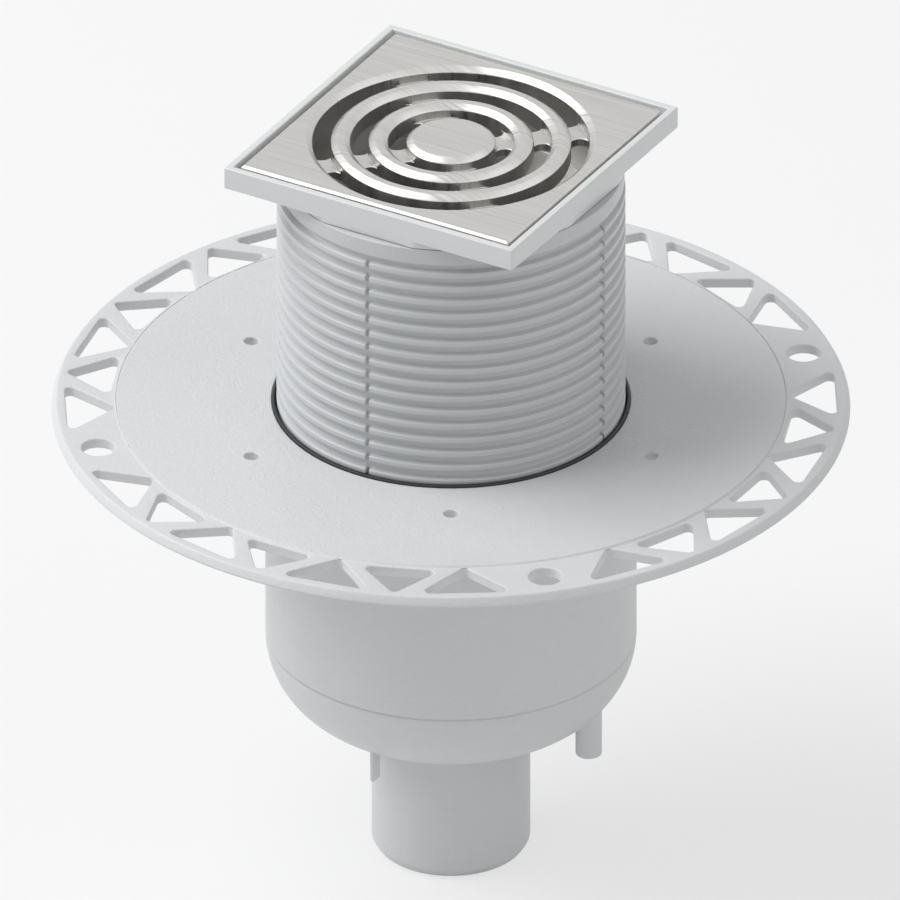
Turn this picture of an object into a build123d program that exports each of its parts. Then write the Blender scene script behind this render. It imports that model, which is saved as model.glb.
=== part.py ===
# Floor drain with a round flange, ribbed riser, square slotted grate and bell trap
import os
from math import radians
from build123d import *

os.makedirs("parts", exist_ok=True)

# How far a cut runs past the faces that it opens
cut_over = 1.0

# Outlet spigot, z = 0 at its open end
spigot_r = 25.0
spigot_wall = 2.8
spigot_lead_high = 2.8
spigot_lead_in = 1.8
bowl_floor_z = 49.4

# Pot: straight shell on a knuckled bowl, round the riser's seal
pot_seat_wall = 2.0
pot_wall = 2.3
knuckle_r = 27.5
pot_high = 79.5
pot_web = 3.0

# Flange: disc, and openwork ring with a sloped rim
flange_thick = 3.5
flange_r = 126.0
rim_top_in = 1.5
rim_foot_in = 1.0
rim_foot_high = 0.7
ring_wide = 20.3
disc_high = 0.6
screw_hole_r = 2.3
screw_circle_r = 72.5
screw_count = 6
anchor_hole_r = 5.3
anchor_inset = 11.0

# Openwork ring: rounded triangles in turn pointing out and in, seven to a quarter
cut_pitch = 10.75
cut_round = 1.7
rim_land = 4.7
disc_land = 1.3
strut_step = 11.4
tip_out = 0.5
tip_in = 0.8

# Feet under the bowl: two round pegs, and two ribs across them
foot_inset = 8.4
foot_r = 4.2
rib_foot_long = 4.4
rib_foot_thick = 1.5
foot_drop = 3.5

# Riser tube with snap ribs
riser_r = 55.0
band_inset = 0.3
rib_deep = 1.8
riser_wall = 2.4
riser_below = 35.0
riser_above = 85.7
band_high = 5.5
rib_pitch = 5.0
rib_count = 22
rib_tip = 1.8
rib_flank = 0.6
rib_first = 9.1
rib_split = 1.2
split_turn = 1.2
riser_lead = 1.2

# Lip seal round the riser
seal_gap = 0.3
seal_wide = 1.2
seal_deep = 8.0
seal_proud = 0.6
lip_relief = 0.5
lip_high = 1.4

# Frame: square tray with a round collar and a spigot in the riser
frame_inset = 2.6
frame_high = 7.4
rim_wide = 2.4
tray_deep = 3.0
tray_thick = 2.2
collar_drop = 2.2
turn_gap = 0.3
collar_gap = 0.15
stub_wall = 2.5
stub_long = 23.0
ring_groove_deep = 1.4
ring_groove_wide = 1.8
ring_groove_up = 6.0

# Grate: three dished slot rings on a recessed cross
grate_gap = 1.4
grate_chamfer = 0.8
ring_high = 7.0
skirt_gap = 0.4
skirt_wall = 2.75
slot_wide = 5.7
slot_first_r = 17.0
dish_wide = 2.0
dish_deep = 1.5
cross_wide = 8.0
cross_thick = 2.7
window_end_flat = 0.5
core_hollow_r = 10.5

# Hair sieve hanging in the frame
sieve_gap = 0.4
sieve_wall = 0.8
sieve_flange = 1.6
sieve_flange_thick = 1.0
sieve_deep = 24.0
sieve_floor = 1.0
sieve_slot_wide = 3.5
sieve_slot_in = 14.0
sieve_slot_land = 5.8
sieve_slots = 16

# Trap pipe plugged in the outlet, with its ring
trap_pipe_r = 19.5
trap_pipe_wall = 2.0
trap_rim_up = 62.3
plug_gap = 0.2
plug_long = 13.7
plug_collar = 6.0
plug_collar_thick = 2.5
trap_ring_r = 1.1
trap_ring_up = 6.0
trap_ring_play = 0.1

# Bell over the trap pipe
bell_r = 32.0
bell_wall = 2.0
bell_rim_up = 10.3
bell_headroom = 12.0
bell_ribs = 3
bell_bevel = 3.2
bell_rib_thick = 2.0
bell_rib_gap = 0.3
bell_rib_down = 18.0
bell_rib_in = 1.0
handle_wide = 28.0
handle_high = 13.75
handle_sunk = 0.75
handle_thick = 3.0
handle_frame = 4.0
handle_bar = 3.75

# Derived levels and radii
seat_r = riser_r + seal_gap + seal_wide
pot_r = seat_r + pot_seat_wall
knuckle_z = bowl_floor_z + knuckle_r
knuckle_in = pot_r - knuckle_r
pot_in_r = pot_r - pot_wall
floor_in_z = bowl_floor_z + pot_wall
flange_z = knuckle_z + pot_high
flange_top_z = flange_z + flange_thick
disc_top_z = flange_top_z + disc_high
disc_r = flange_r - ring_wide
cut_inner_r = disc_r + disc_land
cut_outer_r = flange_r - rim_land
anchor_circle_r = flange_r - anchor_inset
foot_circle_r = pot_r - foot_inset
seat_z = disc_top_z - seal_deep
riser_band_r = riser_r - band_inset
riser_root_r = riser_r - rib_deep
riser_in_r = riser_root_r - riser_wall
riser_low_z = flange_top_z - riser_below
riser_top_z = flange_top_z + riser_above
spigot_in_r = spigot_r - spigot_wall

# Pot in one moulding: spigot, bowl, shell, flange and feet
with BuildPart() as pot:
    with BuildSketch(Plane.XZ):
        with BuildLine():
            Polyline(
                (0, 0),
                (spigot_r - spigot_lead_in, 0),
                (spigot_r, spigot_lead_high),
                (spigot_r, bowl_floor_z),
                (knuckle_in, bowl_floor_z),
            )
            RadiusArc((knuckle_in, bowl_floor_z), (pot_r, knuckle_z), -knuckle_r)
            Polyline(
                (pot_r, knuckle_z),
                (pot_r, flange_z - pot_web),
                (pot_r + pot_web, flange_z),
                (flange_r - rim_foot_in, flange_z),
                (flange_r, flange_z + rim_foot_high),
                (flange_r - rim_top_in, flange_top_z),
                (disc_r, flange_top_z),
                (disc_r, disc_top_z),
                (0, disc_top_z),
                (0, 0),
            )
        make_face()
    revolve(axis=Axis.Z)
    with BuildSketch(Plane.XY.offset(bowl_floor_z - foot_drop)):
        with PolarLocations(foot_circle_r, 2):
            Circle(foot_r)
        with PolarLocations(foot_circle_r - rib_foot_long / 2, 2, start_angle=90):
            Rectangle(rib_foot_long, rib_foot_thick)
    extrude(amount=foot_drop + knuckle_r)
    with BuildSketch(Plane.XZ):
        with BuildLine():
            Polyline(
                (0, -cut_over),
                (spigot_in_r, -cut_over),
                (spigot_in_r, floor_in_z),
                (knuckle_in, floor_in_z),
            )
            RadiusArc((knuckle_in, floor_in_z), (pot_in_r, knuckle_z), pot_wall - knuckle_r)
            Polyline(
                (pot_in_r, knuckle_z),
                (pot_in_r, seat_z),
                (seat_r, seat_z),
                (seat_r, disc_top_z + cut_over),
                (0, disc_top_z + cut_over),
                (0, -cut_over),
            )
        make_face()
    revolve(axis=Axis.Z, mode=Mode.SUBTRACT)
    with BuildSketch(Plane.XY.offset(flange_z - cut_over)):
        with PolarLocations(screw_circle_r, screw_count):
            Circle(screw_hole_r)
        with PolarLocations(anchor_circle_r, 4, start_angle=45):
            Circle(anchor_hole_r)
    extrude(amount=flange_thick + disc_high + 2 * cut_over, mode=Mode.SUBTRACT)
    low = cut_inner_r + cut_round
    high = cut_outer_r - cut_round
    half_in = low * radians(cut_pitch) - strut_step
    half_out = high * radians(cut_pitch) - strut_step
    for step in range(-3, 4):
        if step % 2 == 0:
            corners = [(low, -half_in), (low, half_in), (high + tip_out, 0)]
        else:
            corners = [(high, -half_out), (high, half_out), (low - tip_in, 0)]
        for quarter in range(4):
            turn = 90 * quarter + step * cut_pitch
            with BuildSketch(Plane.XY.offset(flange_z - cut_over).rotated((0, 0, turn))):
                Polygon(*corners, align=None)
                offset(amount=cut_round)
            extrude(amount=flange_thick + 2 * cut_over, mode=Mode.SUBTRACT)

# Lip seal pressed into the seat at the top of the pot
with BuildPart() as riser_seal:
    seal_in_r = riser_r + seal_gap
    seal_top_z = disc_top_z + seal_proud
    with BuildSketch(Plane.XZ):
        with BuildLine():
            Polyline(
                (seal_in_r + lip_relief, seat_z),
                (seat_r, seat_z),
                (seat_r, disc_top_z),
                (seat_r - seal_proud / 2, seal_top_z),
                (seal_in_r + seal_proud / 2, seal_top_z),
                (seal_in_r, disc_top_z),
                (seal_in_r, seal_top_z - lip_high),
                (seal_in_r + lip_relief, seal_top_z - 2 * lip_high),
                (seal_in_r, seal_top_z - 3 * lip_high),
                (seal_in_r, seal_top_z - 4 * lip_high),
                (seal_in_r + lip_relief, seat_z),
            )
        make_face()
    revolve(axis=Axis.Z)

# Riser tube: plain band on top, ribs below, split by four mould lines
with BuildPart() as riser:
    outline = [
        (riser_in_r, riser_top_z),
        (riser_band_r, riser_top_z),
        (riser_band_r, riser_top_z - band_high),
        (riser_root_r, riser_top_z - band_high),
    ]
    for count in range(rib_count):
        middle = riser_top_z - rib_first - count * rib_pitch
        outline += [
            (riser_root_r, middle + rib_tip / 2 + rib_flank),
            (riser_r, middle + rib_tip / 2),
            (riser_r, middle - rib_tip / 2),
            (riser_root_r, middle - rib_tip / 2 - rib_flank),
        ]
    outline += [
        (riser_root_r, riser_low_z + 2 * riser_lead),
        (riser_root_r - riser_lead, riser_low_z),
        (riser_in_r, riser_low_z),
        (riser_in_r, riser_top_z),
    ]
    with BuildSketch(Plane.XZ):
        with BuildLine():
            Polyline(*outline)
        make_face()
    revolve(axis=Axis.Z)
    split_over = rib_tip / 2 + rib_flank + cut_over
    split_long = (rib_count - 1) * rib_pitch + 2 * split_over
    split_low_z = riser_top_z - rib_first + split_over - split_long
    with BuildSketch(Plane.XY.offset(split_low_z)):
        with PolarLocations(riser_r, 4, start_angle=split_turn):
            Rectangle(2 * rib_deep, rib_split)
    extrude(amount=split_long, mode=Mode.SUBTRACT)

# Frame
frame_low_z = riser_top_z + collar_gap
frame_skirt_z = frame_low_z + collar_drop
frame_top_z = frame_skirt_z + frame_high
frame_side = 2 * (riser_r - frame_inset)
tray_z = frame_top_z - tray_deep
tray_side = frame_side - 2 * rim_wide
stub_r = riser_in_r - turn_gap
stub_in_r = stub_r - stub_wall
sieve_r = stub_in_r - sieve_gap
sieve_in_r = sieve_r - sieve_wall
sieve_flange_r = stub_in_r + sieve_flange
with BuildPart() as frame:
    with BuildSketch(Plane.XY.offset(frame_skirt_z)):
        Rectangle(frame_side, frame_side)
    extrude(amount=frame_high)
    with BuildSketch(Plane.XY.offset(tray_z)):
        Rectangle(tray_side, tray_side)
    extrude(amount=tray_deep, mode=Mode.SUBTRACT)
    with BuildSketch(Plane.XY.offset(frame_skirt_z)):
        Rectangle(tray_side, tray_side)
    extrude(amount=frame_high - tray_deep - tray_thick, mode=Mode.SUBTRACT)
    with BuildSketch(Plane.XY.offset(frame_low_z)):
        Circle(riser_band_r)
        Rectangle(frame_side, frame_side, mode=Mode.INTERSECT)
    extrude(amount=tray_z - frame_low_z)
    with BuildSketch(Plane.XY.offset(frame_low_z - stub_long)):
        Circle(stub_r)
    extrude(amount=stub_long)
    with BuildSketch(Plane.XY.offset(frame_low_z - stub_long)):
        Circle(stub_in_r)
    extrude(amount=tray_z - frame_low_z + stub_long, mode=Mode.SUBTRACT)
    with BuildSketch(Plane.XY.offset(tray_z)):
        Circle(sieve_flange_r + sieve_gap / 2)
    extrude(amount=-sieve_flange_thick - sieve_gap / 2, mode=Mode.SUBTRACT)
    groove_z = frame_low_z - stub_long + ring_groove_up
    with BuildSketch(Plane.XY.offset(groove_z)):
        Circle(stub_r + cut_over)
        Circle(stub_r - ring_groove_deep, mode=Mode.SUBTRACT)
    extrude(amount=ring_groove_wide, mode=Mode.SUBTRACT)

# Ring in the groove of the frame spigot
with BuildPart() as frame_ring:
    with BuildSketch(Plane.XY.offset(groove_z)):
        Circle(stub_r)
        Circle(stub_r - ring_groove_deep, mode=Mode.SUBTRACT)
    extrude(amount=ring_groove_wide)
    chamfer(frame_ring.edges().filter_by(GeomType.CIRCLE).sort_by(SortBy.RADIUS)[-2:], ring_groove_deep / 3)

# Hair sieve
with BuildPart() as sieve:
    sieve_slot_out = sieve_in_r - sieve_slot_land
    sieve_top_z = tray_z - sieve_gap / 2
    sieve_low_z = sieve_top_z - sieve_deep
    with BuildSketch(Plane.XZ):
        with BuildLine():
            Polyline(
                (0, sieve_low_z),
                (sieve_r, sieve_low_z),
                (sieve_r, sieve_top_z - sieve_flange_thick),
                (sieve_flange_r, sieve_top_z - sieve_flange_thick),
                (sieve_flange_r, sieve_top_z),
                (sieve_in_r, sieve_top_z),
                (sieve_in_r, sieve_low_z + sieve_floor),
                (0, sieve_low_z + sieve_floor),
                (0, sieve_low_z),
            )
        make_face()
    revolve(axis=Axis.Z)
    with BuildSketch(Plane.XY.offset(sieve_low_z)):
        with PolarLocations((sieve_slot_in + sieve_slot_out) / 2, sieve_slots):
            SlotOverall(sieve_slot_out - sieve_slot_in, sieve_slot_wide)
    extrude(amount=sieve_floor, mode=Mode.SUBTRACT)

# Grate
grate_side = tray_side - 2 * grate_gap
ring_skirt_r = sieve_in_r - skirt_gap
slot_pitch = (ring_skirt_r - skirt_wall - slot_wide / 2 - slot_first_r) / 2
cross_z = frame_top_z - ring_high + cross_thick
window_round = (slot_wide - window_end_flat) / 2
with BuildPart() as grate:
    with BuildSketch(Plane.XY.offset(tray_z)):
        Rectangle(grate_side, grate_side)
    extrude(amount=tray_deep)
    chamfer(grate.faces().sort_by(Axis.Z)[-1].edges(), grate_chamfer)
    with BuildSketch(Plane.XY.offset(frame_top_z - ring_high)):
        Circle(ring_skirt_r)
    extrude(amount=ring_high - tray_deep)
    for count in range(3):
        slot_r = slot_first_r + count * slot_pitch
        slot_in = slot_r - slot_wide / 2
        slot_out = slot_r + slot_wide / 2
        with BuildSketch(Plane.XZ):
            with BuildLine():
                Polyline(
                    (slot_in, cross_z),
                    (slot_out, cross_z),
                    (slot_out, frame_top_z - dish_deep),
                    (slot_out + dish_wide, frame_top_z),
                    (slot_out + dish_wide, frame_top_z + cut_over),
                    (slot_in - dish_wide, frame_top_z + cut_over),
                    (slot_in - dish_wide, frame_top_z),
                    (slot_in, frame_top_z - dish_deep),
                    (slot_in, cross_z),
                )
            make_face()
        revolve(axis=Axis.Z, mode=Mode.SUBTRACT)
        with BuildSketch(Plane.XY.offset(cross_z)) as windows:
            Circle(slot_out)
            Circle(slot_in, mode=Mode.SUBTRACT)
            with Locations(Rotation(0, 0, 45), Rotation(0, 0, 135)):
                Rectangle(2 * ring_skirt_r, cross_wide, mode=Mode.SUBTRACT)
            fillet(windows.vertices(), window_round)
        extrude(amount=-cross_thick, mode=Mode.SUBTRACT)
    with BuildSketch(Plane.XY.offset(frame_top_z - ring_high)):
        Circle(core_hollow_r)
    extrude(amount=ring_high - tray_deep, mode=Mode.SUBTRACT)

# Trap pipe plugged in the outlet
plug_r = spigot_in_r - plug_gap
plug_low_z = floor_in_z - plug_long
trap_rim_z = floor_in_z + trap_rim_up
trap_in_r = trap_pipe_r - trap_pipe_wall
trap_ring_z = plug_low_z + trap_ring_up
with BuildPart() as trap_pipe:
    with BuildSketch(Plane.XZ):
        with BuildLine():
            Polyline(
                (trap_in_r, plug_low_z),
                (plug_r, plug_low_z),
                (plug_r, trap_ring_z - trap_ring_r),
                (plug_r - trap_ring_r, trap_ring_z - trap_ring_r),
                (plug_r - trap_ring_r, trap_ring_z + trap_ring_r),
                (plug_r, trap_ring_z + trap_ring_r),
                (plug_r, floor_in_z),
                (plug_r + plug_collar, floor_in_z),
                (plug_r + plug_collar, floor_in_z + plug_collar_thick),
                (trap_pipe_r, floor_in_z + plug_collar_thick),
                (trap_pipe_r, trap_rim_z),
                (trap_in_r, trap_rim_z),
                (trap_in_r, plug_low_z),
            )
        make_face()
    revolve(axis=Axis.Z)

# Ring on the plug, filling its groove out to the outlet wall
with BuildPart() as trap_ring:
    with BuildSketch(Plane.XZ) as ring_section:
        with Locations(((spigot_in_r + plug_r - trap_ring_r) / 2, trap_ring_z)):
            Rectangle(trap_ring_r + plug_gap, 2 * (trap_ring_r - trap_ring_play))
        chamfer(ring_section.vertices(), trap_ring_r / 4)
    revolve(axis=Axis.Z)

# Bell over the trap pipe, with a lifting loop
bell_in_r = bell_r - bell_wall
bell_rim_z = floor_in_z + bell_rim_up
bell_roof_z = trap_rim_z + bell_headroom
bell_top_z = bell_roof_z + bell_wall
with BuildPart() as bell:
    with BuildSketch(Plane.XZ):
        with BuildLine():
            Polyline(
                (0, bell_roof_z),
                (bell_in_r - bell_wall, bell_roof_z),
                (bell_in_r, bell_roof_z - bell_wall),
                (bell_in_r, bell_rim_z),
                (bell_r, bell_rim_z),
                (bell_r, bell_roof_z - bell_wall),
                (bell_r - bell_bevel, bell_top_z),
                (0, bell_top_z),
                (0, bell_roof_z),
            )
        make_face()
    revolve(axis=Axis.Z)
    for count in range(bell_ribs):
        turn = count * 360 / bell_ribs + 30
        with BuildSketch(Plane.XZ.rotated((0, 0, turn))):
            with BuildLine():
                Polyline(
                    (trap_in_r - bell_rib_in, bell_roof_z + bell_wall / 2),
                    (trap_in_r - bell_rib_in, trap_rim_z),
                    (trap_pipe_r + bell_rib_gap, trap_rim_z),
                    (trap_pipe_r + bell_rib_gap, trap_rim_z - bell_rib_down),
                    (bell_in_r + bell_wall / 2, trap_rim_z - bell_rib_down),
                    (bell_in_r + bell_wall / 2, bell_roof_z - bell_wall),
                    (trap_in_r - bell_rib_in, bell_roof_z + bell_wall / 2),
                )
            make_face()
        extrude(amount=bell_rib_thick / 2, both=True)
    loop_high = handle_high + handle_sunk
    with BuildSketch(Plane.XZ):
        with Locations((0, bell_top_z - handle_sunk + loop_high / 2)):
            RectangleRounded(handle_wide, loop_high, handle_frame)
            RectangleRounded(
                handle_wide - 2 * handle_frame,
                loop_high - 2 * handle_bar,
                handle_frame / 2,
                mode=Mode.SUBTRACT,
            )
    extrude(amount=handle_thick / 2, both=True)

pot.part.label = "pot"
riser_seal.part.label = "riser_seal"
riser.part.label = "riser"
frame.part.label = "frame"
frame_ring.part.label = "frame_ring"
sieve.part.label = "sieve"
grate.part.label = "grate"
trap_pipe.part.label = "trap_pipe"
trap_ring.part.label = "trap_ring"
bell.part.label = "bell"

export_step(pot.part, "parts/pot.step")
export_step(riser_seal.part, "parts/riser_seal.step")
export_step(riser.part, "parts/riser.step")
export_step(frame.part, "parts/frame.step")
export_step(frame_ring.part, "parts/frame_ring.step")
export_step(sieve.part, "parts/sieve.step")
export_step(grate.part, "parts/grate.step")
export_step(trap_pipe.part, "parts/trap_pipe.step")
export_step(trap_ring.part, "parts/trap_ring.step")
export_step(bell.part, "parts/bell.step")
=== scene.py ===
# Floor drain: finishes for its moulded, cast, pressed and rubber pieces, and a plain studio
import math

import bmesh
import bpy
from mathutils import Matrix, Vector


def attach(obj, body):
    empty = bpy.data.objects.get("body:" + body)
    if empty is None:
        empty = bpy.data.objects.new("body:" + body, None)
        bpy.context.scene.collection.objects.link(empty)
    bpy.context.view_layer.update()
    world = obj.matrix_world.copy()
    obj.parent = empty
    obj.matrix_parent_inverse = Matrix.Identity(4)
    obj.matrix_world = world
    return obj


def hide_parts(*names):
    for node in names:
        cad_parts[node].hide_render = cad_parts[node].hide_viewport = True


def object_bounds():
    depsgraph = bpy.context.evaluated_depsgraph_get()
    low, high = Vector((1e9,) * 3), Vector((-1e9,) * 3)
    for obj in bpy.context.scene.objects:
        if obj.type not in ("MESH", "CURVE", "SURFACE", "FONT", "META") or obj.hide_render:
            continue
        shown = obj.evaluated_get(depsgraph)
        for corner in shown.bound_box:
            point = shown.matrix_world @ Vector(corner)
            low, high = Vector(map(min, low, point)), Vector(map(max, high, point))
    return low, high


bl_info = {
    "name": "Floor drain finishes",
    "version": (1, 0, 0),
    "blender": (4, 5, 0),
    "location": "3D View > Sidebar > Drain",
    "description": "Dresses the packed floor drain in its real materials and sets up a studio",
    "category": "Object",
}

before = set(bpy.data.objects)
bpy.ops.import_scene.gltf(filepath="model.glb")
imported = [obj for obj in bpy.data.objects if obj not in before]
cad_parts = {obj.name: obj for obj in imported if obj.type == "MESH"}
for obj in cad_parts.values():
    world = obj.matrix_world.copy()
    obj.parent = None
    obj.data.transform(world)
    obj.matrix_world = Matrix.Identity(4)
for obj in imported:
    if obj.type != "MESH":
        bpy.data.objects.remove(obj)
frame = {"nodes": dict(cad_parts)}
cad_low, cad_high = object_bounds()

# The drawing: its width in pixels, metres to a pixel, and where the drain's axis and the middle
# of its outlet's end lie in it, in pixels from the left and from the top
PICTURE_PX = 900
PX_SIZE = 0.000315
AXIS_PX = 451.0
OUTLET_PX = 839.5

# How far apart two corners of loose triangles may lie and still be one corner
SAME_CORNER = 0.000001
# Edges that turn more than this are sharp in the real piece
SHARP_TURN = math.radians(28)
# Flat strips that make up a rounded edge
ROUND_STRIPS = 2
# Weighs normals by the area of their faces alone, so that flat faces stay flat up to their edges
AREA_WEIGHT = 100
# Mould line round the pot, where its straight shell meets the bowl: radius, height, width, depth
SHELL_LINE = (0.0585, 0.0769, 0.0007, 0.0004)

# A noise texture seldom leaves this range
NOISE_LOW = 0.3
NOISE_HIGH = 0.7
# Sockets of a Mix node that mixes colours
MIX_SHARE = 0
MIX_A = 6
MIX_B = 7
MIX_RESULT = 2
WHITE = (1, 1, 1, 1)

# Studio: sides of the square floor and lamps, and where the lamps stand
FLOOR_SIDE = 8.0
KEY_SIDE = 2.0
KEY_SPOT = Vector((-1.55, -0.7, 2.1))
FILL_SIDE = 3.2
FILL_SPOT = Vector((2.0, 0.2, 1.3))
# How far the camera sees, past the floor's far corner
CAMERA_REACH = 20.0


def linear(code):
    """An sRGB hex colour as linear red, green and blue."""
    parts = [int(code[start:start + 2], 16) / 255 for start in (0, 2, 4)]
    return tuple(p / 12.92 if p <= 0.04045 else ((p + 0.055) / 1.055) ** 2.4 for p in parts)


class DrainEdges(bpy.types.PropertyGroup):
    """Radii of the pieces' rounded edges."""
    pot: bpy.props.FloatProperty(
        name="Pot edges", description="Radius that the pot's mould leaves on its edges",
        default=0.0005, min=0.0001, max=0.001, precision=5, unit="LENGTH")
    riser: bpy.props.FloatProperty(
        name="Riser edges", description="Radius on the riser's ribs and ends",
        default=0.0003, min=0.0001, max=0.0005, precision=5, unit="LENGTH")
    frame: bpy.props.FloatProperty(
        name="Frame edges", description="Radius on the rim, skirt and collar of the frame",
        default=0.0004, min=0.0001, max=0.001, precision=5, unit="LENGTH")
    grate: bpy.props.FloatProperty(
        name="Grate edges", description="Radius that polishing leaves on the rings and sides",
        default=0.0003, min=0.0001, max=0.0006, precision=5, unit="LENGTH")
    sheet: bpy.props.FloatProperty(
        name="Sieve edges", description="Radius on the pressed sheet of the sieve",
        default=0.0002, min=0.0001, max=0.0003, precision=5, unit="LENGTH")
    trap: bpy.props.FloatProperty(
        name="Trap edges", description="Radius on the bell and its pipe",
        default=0.0004, min=0.0001, max=0.0008, precision=5, unit="LENGTH")
    rubber: bpy.props.FloatProperty(
        name="Rubber edges", description="Radius on the rubber rings",
        default=0.0002, min=0.0001, max=0.0004, precision=5, unit="LENGTH")


class DrainColours(bpy.types.PropertyGroup):
    """Base colours of the materials, in linear light."""
    pot: bpy.props.FloatVectorProperty(
        name="Pot", description="Light grey polypropylene",
        default=linear("D7D8D9"), min=0, max=1, size=3, subtype="COLOR")
    riser: bpy.props.FloatVectorProperty(
        name="Riser", description="Light grey ABS",
        default=linear("C8CACC"), min=0, max=1, size=3, subtype="COLOR")
    frame: bpy.props.FloatVectorProperty(
        name="Frame", description="Light grey polished ABS",
        default=linear("DADBDC"), min=0, max=1, size=3, subtype="COLOR")
    steel: bpy.props.FloatVectorProperty(
        name="Steel", description="Stainless steel, as its mirror colour",
        default=linear("D2D1CF"), min=0, max=1, size=3, subtype="COLOR")
    trap: bpy.props.FloatVectorProperty(
        name="Trap", description="Mid grey polypropylene",
        default=linear("B9BDC0"), min=0, max=1, size=3, subtype="COLOR")
    rubber: bpy.props.FloatVectorProperty(
        name="Rubber", description="Black EPDM rubber",
        default=linear("262627"), min=0, max=1, size=3, subtype="COLOR")
    floor: bpy.props.FloatVectorProperty(
        name="Floor", description="White studio floor",
        default=linear("EAEAEA"), min=0, max=1, size=3, subtype="COLOR")


class DrainStudio(bpy.types.PropertyGroup):
    """Camera and lamps."""
    azimuth: bpy.props.FloatProperty(
        name="Azimuth", description="Turn of the camera to the right of the drain's front",
        default=math.radians(30), subtype="ANGLE")
    elevation: bpy.props.FloatProperty(
        name="Elevation", description="Height of the camera above the horizon",
        default=math.radians(30), subtype="ANGLE")
    distance: bpy.props.FloatProperty(
        name="Distance", description="From the drain to the camera",
        default=1.5, min=0.5, unit="LENGTH")
    key: bpy.props.FloatProperty(
        name="Key lamp", description="Power of the large lamp at the upper left",
        default=60.0, min=0, unit="POWER")
    fill: bpy.props.FloatProperty(
        name="Fill lamp", description="Power of the wide soft lamp at the right",
        default=16.0, min=0, unit="POWER")
    room: bpy.props.FloatProperty(
        name="Room light", description="Brightness of the even light from all round",
        default=0.36, min=0, max=1)
    glow: bpy.props.FloatProperty(
        name="Floor glow", description="Share of plain white that the camera sees in the floor",
        default=0.6, min=0, max=1)


def score(piece, radius, height, wide, deep):
    """Sinks a fine V line round a piece, where its skin passes through a radius and a height."""
    near_height, near_radius = wide / 8, wide / 4
    mesh = bmesh.new()
    mesh.from_mesh(piece.data)
    for level in (height - wide / 2, height, height + wide / 2):
        bmesh.ops.bisect_plane(
            mesh, geom=mesh.verts[:] + mesh.edges[:] + mesh.faces[:], dist=SAME_CORNER,
            plane_co=(0, 0, level), plane_no=(0, 0, 1))
    for corner in mesh.verts:
        off_height = abs(corner.co.z - height)
        off_radius = abs(corner.co.xy.length - radius)
        if off_height < near_height and off_radius < near_radius:
            corner.co.xy *= 1 - deep / radius
    mesh.to_mesh(piece.data)
    mesh.free()


def skin_of(node, name, edge, line=None):
    """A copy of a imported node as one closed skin, with sharp edges rounded and any line sunk."""
    bpy.ops.object.select_all(action="DESELECT")
    piece = bpy.data.objects.new(name, frame["nodes"][node].data.copy())
    bpy.context.scene.collection.objects.link(piece)
    piece.select_set(True)
    bpy.context.view_layer.objects.active = piece
    bpy.ops.object.mode_set(mode="EDIT")
    bpy.ops.mesh.select_all(action="SELECT")
    bpy.ops.mesh.remove_doubles(threshold=SAME_CORNER)
    bpy.ops.object.mode_set(mode="OBJECT")
    rounding = piece.modifiers.new("Rounding", "BEVEL")
    rounding.limit_method = "ANGLE"
    rounding.angle_limit = SHARP_TURN
    rounding.width = edge
    rounding.segments = ROUND_STRIPS
    rounding.use_clamp_overlap = False
    rounding.loop_slide = False
    bpy.ops.object.modifier_apply(modifier=rounding.name)
    if line:
        score(piece, *line)
    bpy.ops.object.shade_smooth()
    flats = piece.modifiers.new("Flats", "WEIGHTED_NORMAL")
    flats.weight = AREA_WEIGHT
    bpy.ops.object.modifier_apply(modifier=flats.name)
    return piece


def dress(piece, node, body, material):
    """Gives a piece its material, and puts it in its node's place on its body."""
    piece.data.materials.clear()
    piece.data.materials.append(material)
    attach(piece, body)
    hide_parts(node)


def add(tree, kind, sockets=None, **settings):
    """Adds a node, with its options as keywords, and each named socket set or linked."""
    node = tree.nodes.new(kind)
    for name, value in settings.items():
        setattr(node, name, value)
    for name, value in (sockets or {}).items():
        if isinstance(value, bpy.types.NodeSocket):
            tree.links.new(value, node.inputs[name])
        else:
            node.inputs[name].default_value = value
    return node


def blank(name):
    """A material with its shader, and the place on the object that its patterns read."""
    material = bpy.data.materials.new(name)
    material.use_nodes = True
    tree = material.node_tree
    place = add(tree, "ShaderNodeTexCoord").outputs["Object"]
    return material, tree, tree.nodes["Principled BSDF"], place


def darker(colour, share):
    """A colour with some of its light taken off, ready for a colour socket."""
    return (*[part * (1 - share) for part in colour], 1)


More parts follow.
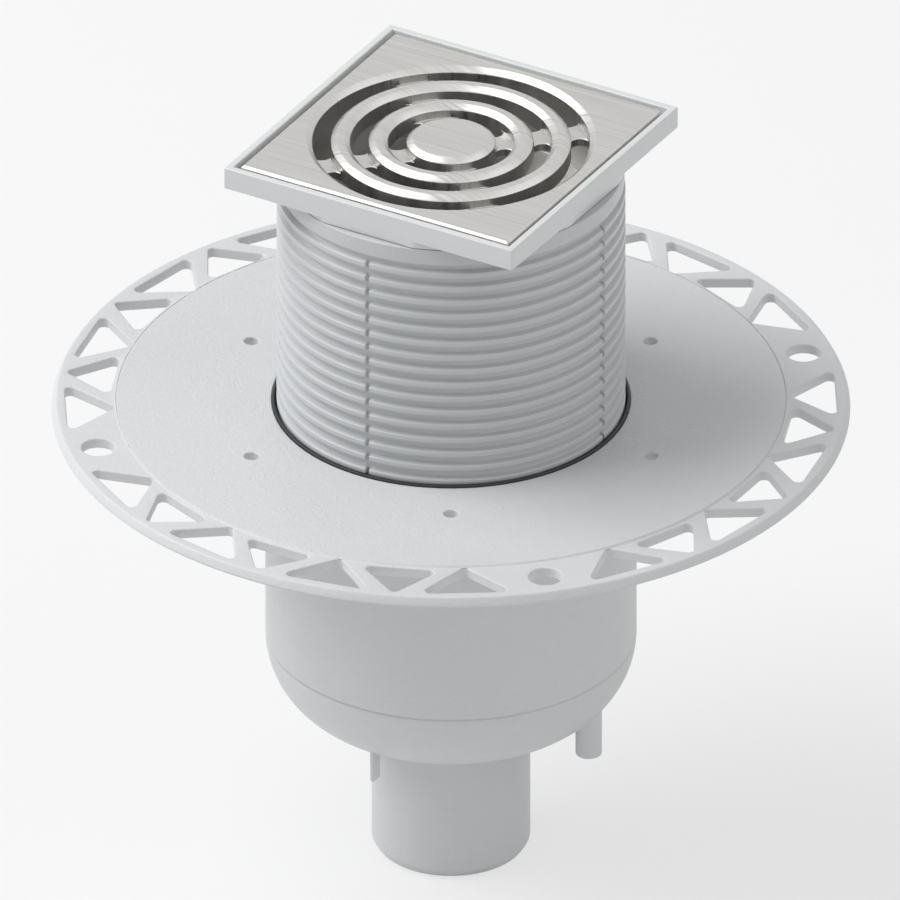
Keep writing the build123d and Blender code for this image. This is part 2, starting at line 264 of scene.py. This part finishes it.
# Polypropylene from a spark-eroded mould: a soft even sheen, fine grain, and faint clouds
# where it flowed
def moulded_polypropylene(name, colour):
    material, tree, shader, place = blank(name)
    flow_cloud = 0.03
    cloud_dark = 0.05
    # The real grain is near 0.1 mm and is drawn coarser, so that it shows
    spark_grain = 0.001
    grain_deep = 0.0002
    smooth, rough = 0.4, 0.52
    clouds = add(tree, "ShaderNodeTexNoise", {
        "Vector": place, "Scale": 1 / flow_cloud, "Detail": 3.0})
    tint = add(tree, "ShaderNodeMix", {
        MIX_SHARE: clouds.outputs["Fac"],
        MIX_A: darker(colour, cloud_dark), MIX_B: darker(colour, 0)}, data_type="RGBA")
    sheen = add(tree, "ShaderNodeMapRange", {
        "Value": clouds.outputs["Fac"], "From Min": NOISE_LOW, "From Max": NOISE_HIGH,
        "To Min": smooth, "To Max": rough})
    grain = add(tree, "ShaderNodeTexNoise", {
        "Vector": place, "Scale": 1 / spark_grain, "Detail": 2.0})
    bump = add(tree, "ShaderNodeBump", {
        "Height": grain.outputs["Fac"], "Distance": grain_deep, "Strength": 1.0})
    tree.links.new(tint.outputs[MIX_RESULT], shader.inputs["Base Color"])
    tree.links.new(sheen.outputs["Result"], shader.inputs["Roughness"])
    tree.links.new(bump.outputs["Normal"], shader.inputs["Normal"])
    shader.inputs["IOR"].default_value = 1.49
    return material


# ABS drawn out of its mould along Z: smoother than polypropylene, with fine upright drag marks
def drawn_abs(name, colour):
    material, tree, shader, place = blank(name)
    flow_cloud = 0.025
    cloud_dark = 0.045
    # Drag marks are about 0.1 mm wide and are drawn coarser, so that they show
    drag_wide = 0.0007
    drag_long = 0.02
    drag_deep = 0.00008
    smooth, rough = 0.3, 0.42
    stretch = add(tree, "ShaderNodeMapping", {
        "Vector": place, "Scale": (1 / drag_wide, 1 / drag_wide, 1 / drag_long)})
    clouds = add(tree, "ShaderNodeTexNoise", {
        "Vector": place, "Scale": 1 / flow_cloud, "Detail": 3.0})
    drags = add(tree, "ShaderNodeTexNoise", {
        "Vector": stretch.outputs["Vector"], "Scale": 1.0, "Detail": 2.0})
    tint = add(tree, "ShaderNodeMix", {
        MIX_SHARE: clouds.outputs["Fac"],
        MIX_A: darker(colour, cloud_dark), MIX_B: darker(colour, 0)}, data_type="RGBA")
    sheen = add(tree, "ShaderNodeMapRange", {
        "Value": drags.outputs["Fac"], "From Min": NOISE_LOW, "From Max": NOISE_HIGH,
        "To Min": smooth, "To Max": rough})
    bump = add(tree, "ShaderNodeBump", {
        "Height": drags.outputs["Fac"], "Distance": drag_deep, "Strength": 1.0})
    tree.links.new(tint.outputs[MIX_RESULT], shader.inputs["Base Color"])
    tree.links.new(sheen.outputs["Result"], shader.inputs["Roughness"])
    tree.links.new(bump.outputs["Normal"], shader.inputs["Normal"])
    shader.inputs["IOR"].default_value = 1.53
    return material


# ABS from a polished mould: glossy, with the faint orange peel that it takes as it cools
def polished_abs(name, colour):
    material, tree, shader, place = blank(name)
    peel = 0.003
    peel_deep = 0.0001
    flow_cloud = 0.04
    cloud_dark = 0.03
    smooth, rough = 0.2, 0.28
    clouds = add(tree, "ShaderNodeTexNoise", {
        "Vector": place, "Scale": 1 / flow_cloud, "Detail": 3.0})
    waves = add(tree, "ShaderNodeTexNoise", {
        "Vector": place, "Scale": 1 / peel, "Detail": 1.0})
    tint = add(tree, "ShaderNodeMix", {
        MIX_SHARE: clouds.outputs["Fac"],
        MIX_A: darker(colour, cloud_dark), MIX_B: darker(colour, 0)}, data_type="RGBA")
    sheen = add(tree, "ShaderNodeMapRange", {
        "Value": clouds.outputs["Fac"], "From Min": NOISE_LOW, "From Max": NOISE_HIGH,
        "To Min": smooth, "To Max": rough})
    bump = add(tree, "ShaderNodeBump", {
        "Height": waves.outputs["Fac"], "Distance": peel_deep, "Strength": 1.0})
    tree.links.new(tint.outputs[MIX_RESULT], shader.inputs["Base Color"])
    tree.links.new(sheen.outputs["Result"], shader.inputs["Roughness"])
    tree.links.new(bump.outputs["Normal"], shader.inputs["Normal"])
    shader.inputs["IOR"].default_value = 1.53
    return material


# Stainless steel casting with a satin ground face: straight fine scratches along X over a
# soft mirror
def satin_stainless(name, colour):
    material, tree, shader, place = blank(name)
    # A 180 grit belt leaves lines about 0.08 mm apart, which are drawn coarser, so that they show
    line_wide = 0.0005
    line_long = 0.04
    line_deep = 0.00001
    line_dark = 0.32
    smooth, rough = 0.26, 0.42
    stretch = add(tree, "ShaderNodeMapping", {
        "Vector": place, "Scale": (1 / line_long, 1 / line_wide, 1 / line_long)})
    lines = add(tree, "ShaderNodeTexNoise", {
        "Vector": stretch.outputs["Vector"], "Scale": 1.0, "Detail": 2.0})
    tint = add(tree, "ShaderNodeMix", {
        MIX_SHARE: lines.outputs["Fac"],
        MIX_A: darker(colour, line_dark), MIX_B: darker(colour, 0)}, data_type="RGBA")
    sheen = add(tree, "ShaderNodeMapRange", {
        "Value": lines.outputs["Fac"], "From Min": NOISE_LOW, "From Max": NOISE_HIGH,
        "To Min": smooth, "To Max": rough})
    bump = add(tree, "ShaderNodeBump", {
        "Height": lines.outputs["Fac"], "Distance": line_deep, "Strength": 1.0})
    tree.links.new(tint.outputs[MIX_RESULT], shader.inputs["Base Color"])
    tree.links.new(sheen.outputs["Result"], shader.inputs["Roughness"])
    tree.links.new(bump.outputs["Normal"], shader.inputs["Normal"])
    shader.inputs["Metallic"].default_value = 1.0
    return material


# Stainless sheet as rolled and deep drawn: plainer than ground steel, and a little clouded
def pressed_stainless(name, colour):
    material, tree, shader, place = blank(name)
    cloud = 0.008
    cloud_dark, cloud_pale = 0.14, 0.06
    smooth, rough = 0.3, 0.36
    clouds = add(tree, "ShaderNodeTexNoise", {
        "Vector": place, "Scale": 1 / cloud, "Detail": 1.0})
    tint = add(tree, "ShaderNodeMix", {
        MIX_SHARE: clouds.outputs["Fac"],
        MIX_A: darker(colour, cloud_dark), MIX_B: darker(colour, cloud_pale)}, data_type="RGBA")
    sheen = add(tree, "ShaderNodeMapRange", {
        "Value": clouds.outputs["Fac"], "From Min": NOISE_LOW, "From Max": NOISE_HIGH,
        "To Min": smooth, "To Max": rough})
    tree.links.new(tint.outputs[MIX_RESULT], shader.inputs["Base Color"])
    tree.links.new(sheen.outputs["Result"], shader.inputs["Roughness"])
    shader.inputs["Metallic"].default_value = 1.0
    return material


# Moulded EPDM rubber: deep grey-black, dull, with a faint bloom
def black_rubber(name, colour):
    material, tree, shader, place = blank(name)
    bloom = 0.006
    bloom_dark = 0.3
    pore = 0.0006
    pore_deep = 0.00002
    smooth, rough = 0.55, 0.7
    clouds = add(tree, "ShaderNodeTexNoise", {
        "Vector": place, "Scale": 1 / bloom, "Detail": 4.0})
    pores = add(tree, "ShaderNodeTexNoise", {
        "Vector": place, "Scale": 1 / pore, "Detail": 2.0})
    tint = add(tree, "ShaderNodeMix", {
        MIX_SHARE: clouds.outputs["Fac"],
        MIX_A: darker(colour, bloom_dark), MIX_B: darker(colour, 0)}, data_type="RGBA")
    sheen = add(tree, "ShaderNodeMapRange", {
        "Value": clouds.outputs["Fac"], "From Min": NOISE_LOW, "From Max": NOISE_HIGH,
        "To Min": smooth, "To Max": rough})
    bump = add(tree, "ShaderNodeBump", {
        "Height": pores.outputs["Fac"], "Distance": pore_deep, "Strength": 1.0})
    tree.links.new(tint.outputs[MIX_RESULT], shader.inputs["Base Color"])
    tree.links.new(sheen.outputs["Result"], shader.inputs["Roughness"])
    tree.links.new(bump.outputs["Normal"], shader.inputs["Normal"])
    shader.inputs["IOR"].default_value = 1.52
    return material


class DRAIN_OT_pot(bpy.types.Operator):
    """Pot with its flange, in light grey polypropylene"""
    bl_idname = "drain.pot"
    bl_label = "Pot"

    def execute(self, context):
        piece = skin_of("pot", "pot_moulding", context.scene.drain_edges.pot, SHELL_LINE)
        finish = moulded_polypropylene("Light grey polypropylene", context.scene.drain_colours.pot)
        dress(piece, "pot", "pot_body", finish)
        return {"FINISHED"}


class DRAIN_OT_riser(bpy.types.Operator):
    """Ribbed riser tube, in light grey ABS"""
    bl_idname = "drain.riser"
    bl_label = "Riser"

    def execute(self, context):
        piece = skin_of("riser", "riser_tube", context.scene.drain_edges.riser)
        finish = drawn_abs("Light grey ABS", context.scene.drain_colours.riser)
        dress(piece, "riser", "riser_body", finish)
        return {"FINISHED"}


class DRAIN_OT_frame(bpy.types.Operator):
    """Square frame with its collar and spigot, in polished ABS"""
    bl_idname = "drain.frame"
    bl_label = "Frame"

    def execute(self, context):
        piece = skin_of("frame", "frame_moulding", context.scene.drain_edges.frame)
        finish = polished_abs("Polished ABS", context.scene.drain_colours.frame)
        dress(piece, "frame", "frame_body", finish)
        return {"FINISHED"}


class DRAIN_OT_grate(bpy.types.Operator):
    """Slotted grate, in satin stainless steel"""
    bl_idname = "drain.grate"
    bl_label = "Grate"

    def execute(self, context):
        piece = skin_of("grate", "grate_casting", context.scene.drain_edges.grate)
        finish = satin_stainless("Satin stainless steel", context.scene.drain_colours.steel)
        dress(piece, "grate", "grate_body", finish)
        return {"FINISHED"}


class DRAIN_OT_sieve(bpy.types.Operator):
    """Hair sieve, pressed from stainless sheet"""
    bl_idname = "drain.sieve"
    bl_label = "Sieve"

    def execute(self, context):
        piece = skin_of("sieve", "sieve_pressing", context.scene.drain_edges.sheet)
        finish = pressed_stainless("Pressed stainless sheet", context.scene.drain_colours.steel)
        dress(piece, "sieve", "frame_body", finish)
        return {"FINISHED"}


class DRAIN_OT_trap(bpy.types.Operator):
    """Bell and trap pipe, in mid grey polypropylene"""
    bl_idname = "drain.trap"
    bl_label = "Bell trap"

    def execute(self, context):
        finish = moulded_polypropylene("Mid grey polypropylene", context.scene.drain_colours.trap)
        for node in ("bell", "trap_pipe"):
            piece = skin_of(node, node + "_moulding", context.scene.drain_edges.trap)
            dress(piece, node, "pot_body", finish)
        return {"FINISHED"}


class DRAIN_OT_seals(bpy.types.Operator):
    """Rubber rings of the riser, the frame and the trap"""
    bl_idname = "drain.seals"
    bl_label = "Seals"

    def execute(self, context):
        finish = black_rubber("EPDM rubber", context.scene.drain_colours.rubber)
        bodies = {"riser_seal": "pot_body", "frame_ring": "frame_body", "trap_ring": "pot_body"}
        for node, body in bodies.items():
            piece = skin_of(node, node + "_rubber", context.scene.drain_edges.rubber)
            dress(piece, node, body, finish)
        return {"FINISHED"}


def seen(tree):
    """1 where a ray comes from the camera, a mirror or glass, and 0 where it lights something."""
    path = add(tree, "ShaderNodeLightPath")
    mirrored = add(tree, "ShaderNodeMath", {
        0: path.outputs["Is Camera Ray"], 1: path.outputs["Is Glossy Ray"]}, operation="MAXIMUM")
    through = add(tree, "ShaderNodeMath", {
        0: mirrored.outputs[0], 1: path.outputs["Is Transmission Ray"]}, operation="MAXIMUM")
    return through.outputs[0]


# Matt white floor paper, very slightly mottled, which the camera sees overexposed but for the
# shadow
def floor_paper(name, colour, glow):
    material, tree, shader, place = blank(name)
    mottle = 0.025
    mottle_dark = 0.01
    clouds = add(tree, "ShaderNodeTexNoise", {
        "Vector": place, "Scale": 1 / mottle, "Detail": 3.0})
    tint = add(tree, "ShaderNodeMix", {
        MIX_SHARE: clouds.outputs["Fac"],
        MIX_A: darker(colour, mottle_dark), MIX_B: darker(colour, 0)}, data_type="RGBA")
    tree.links.new(tint.outputs[MIX_RESULT], shader.inputs["Base Color"])
    shader.inputs["Roughness"].default_value = 0.95
    white = add(tree, "ShaderNodeEmission", {"Color": WHITE, "Strength": 1.0})
    share = add(tree, "ShaderNodeMath", {0: seen(tree), 1: glow}, operation="MULTIPLY")
    both = add(tree, "ShaderNodeMixShader", {
        0: share.outputs[0], 1: shader.outputs[0], 2: white.outputs[0]})
    tree.links.new(both.outputs[0], tree.nodes["Material Output"].inputs["Surface"])
    return material


def lamp(name, power, side, spot, target):
    """A square soft lamp at a spot, turned to a target."""
    bpy.ops.object.select_all(action="DESELECT")
    bpy.ops.object.light_add(type="AREA", location=spot)
    made = bpy.context.object
    made.name = name
    made.data.energy = power
    made.data.size = side
    made.rotation_euler = (target - spot).to_track_quat("-Z", "Y").to_euler()


class DRAIN_OT_studio(bpy.types.Operator):
    """Pale floor, soft lamps and the drawing's parallel camera"""
    bl_idname = "drain.studio"
    bl_label = "Studio"

    def execute(self, context):
        studio = context.scene.drain_studio
        bpy.ops.object.select_all(action="DESELECT")
        bpy.ops.mesh.primitive_plane_add(size=FLOOR_SIDE, location=(0, 0, cad_low.z))
        floor = context.object
        floor.name = "floor"
        paper = floor_paper("Floor paper", context.scene.drain_colours.floor, studio.glow)
        floor.data.materials.append(paper)

        world = bpy.data.worlds.new("Even room")
        context.scene.world = world
        world.use_nodes = True
        tree = world.node_tree
        room = tree.nodes["Background"]
        room.inputs["Color"].default_value = WHITE
        room.inputs["Strength"].default_value = studio.room
        white = add(tree, "ShaderNodeBackground", {"Color": WHITE, "Strength": 1.0})
        pick = add(tree, "ShaderNodeMixShader", {
            0: seen(tree), 1: room.outputs[0], 2: white.outputs[0]})
        tree.links.new(pick.outputs[0], tree.nodes["World Output"].inputs["Surface"])

        middle = Vector((0, 0, cad_high.z / 2))
        lamp("key_lamp", studio.key, KEY_SIDE, KEY_SPOT, middle)
        lamp("fill_lamp", studio.fill, FILL_SIDE, FILL_SPOT, middle)

        back = Vector((
            math.sin(studio.azimuth) * math.cos(studio.elevation),
            -math.cos(studio.azimuth) * math.cos(studio.elevation),
            math.sin(studio.elevation)))
        right = Vector((math.cos(studio.azimuth), math.sin(studio.azimuth), 0))
        # The outlet's end is at z = 0, and a step up the picture is a longer step up the drain
        centre_z = (OUTLET_PX - PICTURE_PX / 2) * PX_SIZE / math.cos(studio.elevation)
        aim = Vector((0, 0, centre_z)) + right * (PICTURE_PX / 2 - AXIS_PX) * PX_SIZE
        bpy.ops.object.camera_add(location=aim + back * studio.distance)
        camera = context.object
        camera.name = "drawing_camera"
        camera.rotation_euler = (-back).to_track_quat("-Z", "Y").to_euler()
        camera.data.type = "ORTHO"
        camera.data.ortho_scale = PICTURE_PX * PX_SIZE
        camera.data.clip_end = CAMERA_REACH
        context.scene.camera = camera
        context.scene.view_settings.view_transform = "Standard"
        return {"FINISHED"}


class DRAIN_PT_sidebar(bpy.types.Panel):
    """Sizes, colours and steps of the drain"""
    bl_label = "Floor drain"
    bl_idname = "DRAIN_PT_sidebar"
    bl_space_type = "VIEW_3D"
    bl_region_type = "UI"
    bl_category = "Drain"

    def draw(self, context):
        scene = context.scene
        for group in (scene.drain_edges, scene.drain_colours, scene.drain_studio):
            box = self.layout.box()
            for name in group.__annotations__:
                box.prop(group, name)
        for step in STEPS:
            self.layout.operator(step.bl_idname)


STEPS = (
    DRAIN_OT_pot,
    DRAIN_OT_riser,
    DRAIN_OT_frame,
    DRAIN_OT_grate,
    DRAIN_OT_sieve,
    DRAIN_OT_trap,
    DRAIN_OT_seals,
    DRAIN_OT_studio,
)
CLASSES = (DrainEdges, DrainColours, DrainStudio, *STEPS, DRAIN_PT_sidebar)


def register():
    for made in CLASSES:
        bpy.utils.register_class(made)
    bpy.types.Scene.drain_edges = bpy.props.PointerProperty(type=DrainEdges)
    bpy.types.Scene.drain_colours = bpy.props.PointerProperty(type=DrainColours)
    bpy.types.Scene.drain_studio = bpy.props.PointerProperty(type=DrainStudio)


def unregister():
    del bpy.types.Scene.drain_studio
    del bpy.types.Scene.drain_colours
    del bpy.types.Scene.drain_edges
    for made in reversed(CLASSES):
        bpy.utils.unregister_class(made)


def main():
    register()
    for step in STEPS:
        group, name = step.bl_idname.split(".")
        getattr(getattr(bpy.ops, group), name)()


if __name__ == "__main__":
    main()
